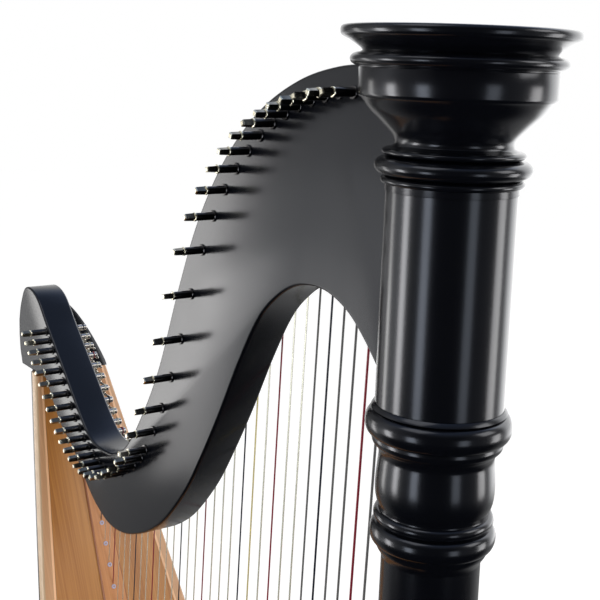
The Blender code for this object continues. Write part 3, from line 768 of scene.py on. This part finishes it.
def string_nodes():
    """Nodes that draw a round string along each line, as thick as the line says."""
    tree, given = node_group("draw_strings", Sides="Int")
    lines = add(tree, "GeometryNodeMeshToCurve", Mesh=given["Geometry"])
    thick = add(tree, "GeometryNodeInputNamedAttribute", Name="thickness").outputs["Attribute"]
    sized = add(tree, "GeometryNodeSetCurveRadius", Curve=lines.outputs["Curve"], Radius=thick)
    ring = add(tree, "GeometryNodeCurvePrimitiveCircle", Resolution=given["Sides"])
    drawn = add(
        tree, "GeometryNodeCurveToMesh", Curve=sized.outputs["Curve"],
        Profile_Curve=ring.outputs["Curve"], Fill_Caps=True,
    )
    if "Scale" in drawn.inputs:
        feed(tree, thick, drawn.inputs["Scale"])
    return close_group(tree, given, drawn.outputs["Mesh"])


def string_finish(name, colour, roughness, through, ridges):
    """Nylon that lets some light through, or a winding with fine ridges round it."""
    made, tree, shader = blank(name)
    shader.inputs["Roughness"].default_value = roughness
    shader.inputs["Transmission Weight"].default_value = through
    where = tree.nodes.new("ShaderNodeTexCoord").outputs["Object"]
    darker = (*[c * 0.85 for c in colour], 1.0)
    lighter = (*[min(c * 1.1, 1.0) for c in colour], 1.0)
    shade = blend(tree, noise(tree, where, 60.0), darker, lighter)
    feed(tree, shade, shader.inputs["Base Color"])
    wave = add(tree, "ShaderNodeTexWave", Vector=where, Scale=600.0)
    wave.bands_direction = "Z"
    bump(tree, shader, wave.outputs["Fac"], ridges, 0.0002)
    return made


draw_strings = string_nodes()
RED = [number for number in range(4, STRINGS, 7)]
BLACK = [number for number in range(1, STRINGS, 7)]
WOUND = [number for number in range(35, STRINGS + 1) if number not in RED + BLACK]
AMBER = [30]
PLAIN = [number for number in range(1, STRINGS + 1) if number not in RED + BLACK + WOUND + AMBER]
GROUPS = (
    ("nylon_strings", PLAIN, ("cream_nylon", (0.86, 0.86, 0.74), 0.25, 0.78, 0.02)),
    ("amber_string", AMBER, ("amber_nylon", (0.82, 0.72, 0.34), 0.25, 0.60, 0.02)),
    ("red_c_strings", RED, ("red_nylon", (0.24, 0.006, 0.022), 0.30, 0.10, 0.05)),
    ("black_f_strings", BLACK, ("black_nylon", (0.010, 0.013, 0.028), 0.30, 0.0, 0.05)),
    ("wound_bass_strings", WOUND, ("wound_steel", (0.13, 0.13, 0.13), 0.38, 0.0, 0.60)),
)
for name, numbers, finish in GROUPS:
    material = string_finish(*finish)
    points, lines, thickness = [], [], []
    for number in numbers:
        route = string_route(number)
        lines += [(len(points) + i, len(points) + i + 1) for i in range(len(route) - 1)]
        points += route
        thickness += [string_radius(number)] * len(route)
    mesh = bpy.data.meshes.new(name)
    mesh.from_pydata(points, lines, [])
    mesh.attributes.new("thickness", "FLOAT", "POINT").data.foreach_set("value", thickness)
    group = placed(name, mesh)
    grow(group, draw_strings, {"Sides": 8, "Finish": material})
    group.data.shade_smooth()
    fix(group, material, replaces=("strings",))

# Soundboard. A thin board of varnished wood, its grain running from the base to the shoulder.
# It is glued into the edge mouldings.
BOARD_TOP, BASE_TOP = 1.2840, 0.1340
TOP_HALF = 0.0432


def board_x(z):
    return BOARD_X + (BOARD_Z - z) * BOARD_SLOPE


def half_width(z):
    """Half the body's width at a height, mouldings included."""
    down = BOARD_TOP - z
    return TOP_HALF + 0.170 * down - 0.0254 * down * down


def moulding_width(z):
    down = BOARD_TOP - z
    return 0.0078 + 0.030 * down - 0.012 * down * down


def shell_depth(z):
    """How far the shell reaches behind the board's face, measured level."""
    share = (BOARD_TOP - z) / (BOARD_TOP - BASE_TOP)
    return 0.073 + 0.125 * share + 0.042 * share * share


def levels(count, low=BASE_TOP + 0.0003, high=BOARD_TOP - 0.0003):
    """Heights evenly up the body."""
    return [low + (high - low) * i / (count - 1) for i in range(count)]


def wood(name, dark, light, roughness, tilt=26.65, streak=1.0):
    """Varnished wood with its grain up the sloping board: fine lines, flecks and broad bands."""
    made, tree, shader = blank(name)
    shader.inputs["Coat Weight"].default_value = 0.35
    shader.inputs["Coat Roughness"].default_value = 0.22
    where = tree.nodes.new("ShaderNodeTexCoord").outputs["Object"]
    turn = add(tree, "ShaderNodeMapping", Vector=where, Rotation=(0.0, math.radians(tilt), 0.0))
    fields = []
    for stretch, detail in (
        ((60.0, 620.0, 9.0), 4.0), ((20.0, 26.0, 1.6), 2.0), ((300.0, 1500.0, 40.0), 1.0),
    ):
        run = add(tree, "ShaderNodeMapping", Vector=turn.outputs["Vector"], Scale=stretch)
        fields.append(noise(tree, run.outputs["Vector"], 1.0, detail))
    fine, broad, flecks = fields
    bands = compute(tree, "MULTIPLY", broad, 0.55)
    lines = compute(tree, "MULTIPLY_ADD", fine, 0.55 * streak, bands)
    colour = ramp(tree, lines, [(0.34, dark), (0.72, light)])
    feed(tree, colour, shader.inputs["Base Color"])
    gloss = ranged(tree, fine, 0.0, 1.0, roughness + 0.08, roughness - 0.06)
    feed(tree, gloss, shader.inputs["Roughness"])
    bump(tree, shader, flecks, 0.06, 0.0004)
    return made


def coat_node(node, material):
    """Gives a CAD piece whose shape is right its finish."""
    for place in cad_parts[node].material_slots:
        place.material = material


board_wood = wood("soundboard_grain", (0.370, 0.134, 0.028), (0.580, 0.258, 0.064), 0.36)
coat_node("soundboard", board_wood)

# Centre strip. A thin redder strip glued over the soundboard's middle, where the strings come
# through; a dark line runs down each edge.
def edged(made, bands):
    """Tints a wood across the piece, by its attribute across, in bands of (begin, colour)."""
    tree = made.node_tree
    shader = tree.nodes["Principled BSDF"]
    across = tree.nodes.new("ShaderNodeAttribute")
    across.attribute_name = "across"
    grain = shader.inputs["Base Color"].links[0].from_socket
    tint = ramp(tree, across.outputs["Fac"], bands, "CONSTANT")
    feed(tree, blend(tree, 1.0, grain, tint, "MULTIPLY"), shader.inputs["Base Color"])
    return made


def strip_along(name, section, zs, material, replaces=()):
    """A strip down the board. The section gives (across share, y, proud) at a height."""
    bm = bmesh.new()
    share = bm.verts.layers.float.new("across")
    rings = []
    for z in zs:
        ring = []
        for across, y, proud in section(z):
            vert = bm.verts.new((board_x(z) + proud - ORIGIN_X, y, z))
            vert[share] = across
            ring.append(vert)
        rings.append(ring)
    skin(bm, rings)
    return fix(shaped(name, bm, 40), material, replaces=replaces)


def centre_section(z):
    """The centre strip's section: flat, with a bevel at each edge."""
    half = 0.0085 + 0.0220 * (BOARD_TOP - z)
    edge, low, top = half - 0.0010, 0.0003, 0.0025
    return [
        (0.0, -half, low), (0.02, -half, low + 0.0010), (0.05, -edge, top),
        (0.15, -edge + 0.0010, top), (0.5, 0.0, top + 0.0001), (0.85, edge - 0.0010, top),
        (0.95, edge, top), (0.98, half, low + 0.0010), (1.0, half, low),
    ]


strip_wood = edged(wood("centre_strip_grain", (0.46, 0.155, 0.048), (0.64, 0.275, 0.090), 0.34), [
    (0.0, (0.60, 0.48, 0.42)), (0.10, (1.0, 1.0, 1.0)), (0.90, (0.60, 0.48, 0.42)),
])
strip_along("centre_strip", centre_section, levels(12, high=BOARD_TOP - 0.004), strip_wood,
            ("strings",))

# Eyelets. Pale collared bushes line the strings' holes in the centre strip, one to a string,
# square to the board.
EYELET_PROUD = 0.0027
slope = math.atan(BOARD_SLOPE)
out = Vector((math.cos(slope), 0.0, math.sin(slope)))
up = Vector((-math.sin(slope), 0.0, math.cos(slope)))
side = Vector((0.0, 1.0, 0.0))
profile = [
    (0.0009, -0.0004), (0.0009, 0.0006), (0.0016, 0.0009), (0.0022, 0.0007), (0.0025, 0.0002),
    (0.0025, -0.0004),
]
bm = bmesh.new()
rings = []
for turn in circle(16):
    away = up * math.cos(turn) + side * math.sin(turn)
    rings.append([bm.verts.new(away * r + out * h) for r, h in profile])
for a, b in zip(rings, rings[1:] + rings[:1]):
    for i in range(len(profile)):
        j = (i + 1) % len(profile)
        bm.faces.new((a[i], a[j], b[j], b[i]))
ivory = lacquer("pale_eyelet", 0.35, (0.55, 0.52, 0.66, 1.0))
places = []
for foot in map(board_meet_z, range(1, STRINGS + 1)):
    x = board_x(foot) - ORIGIN_X + EYELET_PROUD * math.cos(slope)
    places.append((x, 0.0, foot + EYELET_PROUD * math.sin(slope)))
repeat("eyelets", shaped("eyelet", bm, 40), places, ivory)

# Edge mouldings. Rebated strips lap the board's edges: a cream outer wall with a dark line at
# its foot, a tan face and a thin pale line on the inside, which is a painted highlight.
def edge_section(hand):
    """The moulding's section on one side, from the outer wall over the face to the rebate."""
    def section(z):
        edge = half_width(z)
        wide = moulding_width(z)
        points = [
            (0.0, 0.0, -0.0150), (0.08, 0.0, -0.0118), (0.09, 0.0, -0.0114), (0.30, 0.0, -0.0045),
            (0.36, 0.0005, -0.0028), (0.42, 0.0014, -0.0013), (0.47, 0.0027, -0.0004),
            (0.52, 0.0044, 0.0), (0.78, wide - 0.0030, 0.0), (0.86, wide - 0.0022, 0.0),
            (0.99, wide, 0.0), (1.0, wide, -0.0048), (1.0, wide + 0.0060, -0.0048),
            (1.0, wide + 0.0060, -0.0150),
        ]
        return [(share, hand * (edge - inset), proud) for share, inset, proud in points]
    return section


edge_wood = wood("edge_moulding_grain", (0.44, 0.30, 0.165), (0.60, 0.44, 0.27), 0.36, streak=0.7)
# The last band, near twice the wood's brightness, paints the inner edge's highlight.
edged(edge_wood, [
    (0.0, (0.02, 0.02, 0.02)), (0.085, (0.98, 0.96, 0.98)), (0.44, (1.28, 1.00, 0.90)),
    (0.83, (1.95, 1.62, 1.55)),
])
for label, hand in (("left", 1), ("right", -1)):
    strip_along(f"edge_strip_{label}", edge_section(hand), levels(16), edge_wood,
                (f"edge_moulding_{label}",))

# Shell. The soundbox's back, bent from thin laminated wood with four oval sound holes in its
# rear, lacquered black outside.
def back_curve(x, z, wide, deep, steps=48):
    """Points from the right edge round the back to the left edge, the sides leaning in."""
    draw_in = min(0.42 * deep / wide, 0.64)
    points = []
    for i in range(steps + 1):
        turn = math.pi * i / steps
        across = -wide * math.cos(turn) * (1 - draw_in * math.sin(turn))
        points.append(Vector((x - deep * math.sin(turn) - ORIGIN_X, across, z)))
    return points


def cut(piece, cutter):
    """Cuts the cutter away from the piece."""
    tool = piece.modifiers.new("cut", "BOOLEAN")
    tool.object = cutter
    tool.solver = "EXACT"
    settle(piece, tool)
    bpy.data.objects.remove(cutter)


SHELL_SET_IN = 0.0153
SHELL_THICK = 0.005
HOLES = (
    (0.330, 0.130, 0.090), (0.540, 0.120, 0.080), (0.745, 0.110, 0.070), (0.940, 0.100, 0.056),
)
bm = bmesh.new()
loops = []
for z in levels(40):
    wide = half_width(z) - 0.0015
    deep = shell_depth(z) - SHELL_SET_IN
    x = board_x(z) - SHELL_SET_IN
    inner = back_curve(x, z, wide - SHELL_THICK, deep - SHELL_THICK)
    loops.append(back_curve(x, z, wide, deep) + inner[::-1])
loft(bm, loops)
shell = shaped("soundbox_back", bm)
bm = bmesh.new()
for z, tall, wide in HOLES:
    back = board_x(z) - shell_depth(z) - ORIGIN_X
    oval = [(wide / 2 * math.cos(t), z + tall / 2 * math.sin(t)) for t in circle(64)]
    loft(bm, [[Vector((x, y, up)) for y, up in oval] for x in (back - 0.050, back + 0.035)])
cut(shell, shaped("sound_hole_cutter", bm))
fix(shell, satin_black, replaces=("soundbox_shell",))

# Shoulder. A domed block of maple closes the soundbox's top, cut away where the neck is seated
# and glued to it, and lacquered black.
DOME_TOP = 1.3588
bm = bmesh.new()
loops = []
for i in range(25):
    z = BOARD_TOP + (DOME_TOP - BOARD_TOP) * math.sin(math.pi / 2 * i / 24)
    rise = min(max((z - 1.2860) / 0.0730, 0.0), 1.0)
    wide = TOP_HALF * (1 - rise**1.1) ** 0.6
    deep = (shell_depth(BOARD_TOP) - 0.0001) * (0.35 + 0.65 * wide / TOP_HALF)
    loops.append(back_curve(board_x(z), z, wide, deep, 40))
loft(bm, loops)
shoulder = shaped("shoulder_dome", bm)
bm = bmesh.new()
low = Vector((-0.120 - ORIGIN_X, -0.080, 1.2800))
high = Vector((0.050 - ORIGIN_X, LEFT_FACE + 0.0003, 1.420))
spread = Matrix.Diagonal((*(high - low), 1))
bmesh.ops.create_cube(bm, size=1, matrix=Matrix.Translation((low + high) / 2) @ spread)
cut(shoulder, shaped("neck_seat_cutter", bm))
fix(shoulder, satin_black, replaces=("shoulder_block",))

# Inside the soundbox. Spruce ribs and a bottom board hold the shell's form, and a maple bar
# behind the soundboard takes the strings' pull.
spruce = wood("bare_spruce", (0.42, 0.29, 0.155), (0.66, 0.50, 0.31), 0.62, tilt=90.0)
maple = wood("bare_maple", (0.48, 0.34, 0.20), (0.66, 0.50, 0.33), 0.50, streak=0.6)
for node in ("body_rib_lower", "body_rib_upper", "bottom_board"):
    coat_node(node, spruce)
coat_node("inner_string_bar", maple)

# Base. A block of laminated maple with a moulded top edge, lacquered black; the soundbox and
# the column are screwed to it from below.
BASE_MIDDLE, BASE_REAR, BASE_FRONT = 0.5500, 0.3150, 0.7020
REAR_HALF, FRONT_HALF, FRONT_ROUND = 0.2160, 0.0980, 0.0500


def base_loop(inset, z):
    """The base's outline: a half oval at the rear and a narrower rounded front."""
    points = []
    for i in range(65):
        turn = math.pi * i / 64
        x = BASE_MIDDLE - (BASE_MIDDLE - BASE_REAR - inset) * math.sin(turn)
        points.append(Vector((x - ORIGIN_X, -(REAR_HALF - inset) * math.cos(turn), z)))
    for i in range(33):
        turn = math.pi * i / 32
        x = BASE_FRONT - FRONT_ROUND + (FRONT_ROUND - inset) * math.sin(turn)
        points.append(Vector((x - ORIGIN_X, (FRONT_HALF - inset) * math.cos(turn), z)))
    return points


steps = [
    (0.0030, 0.0223), (0.0010, 0.0232), (0.0, 0.0255), (0.0, 0.0655), (0.0008, 0.0675),
    (0.0025, 0.0690),
]
for i in range(9):
    turn = math.pi / 2 * i / 8
    steps.append((0.0030 + 0.0095 * math.sin(turn), 0.0850 - 0.0150 * math.cos(turn)))
steps += [(0.0125, 0.1200), (0.0118, 0.1212)]
for i in range(9):
    turn = math.pi * i / 8
    steps.append((0.0100 - 0.0040 * math.sin(turn), 0.1285 - 0.0055 * math.cos(turn)))
bm = bmesh.new()
loft(bm, [base_loop(inset, z) for inset, z in steps])
fix(shaped("base_plinth", bm, 50), gloss_black, replaces=("base",))

# Feet. Four turned black feet of hard rubber on wood, screwed under the base, where they carry
# the harp on the floor.
for name, x, y in (
    ("foot_rear_left", 0.4150, 0.1250), ("foot_rear_right", 0.4150, -0.1250),
    ("foot_front_left", 0.6450, 0.0700), ("foot_front_right", 0.6450, -0.0700),
):
    turned(name + "_turning", [
        (0.0150, 0.0220), (0.0185, 0.0206), (0.0202, 0.0178), (0.0212, 0.0145),
        (0.0215, 0.0110), (0.0212, 0.0075), (0.0200, 0.0038), (0.0188, 0.0014), (0.0165, 0.0),
    ], satin_black, x - ORIGIN_X, y, 48, (name,))
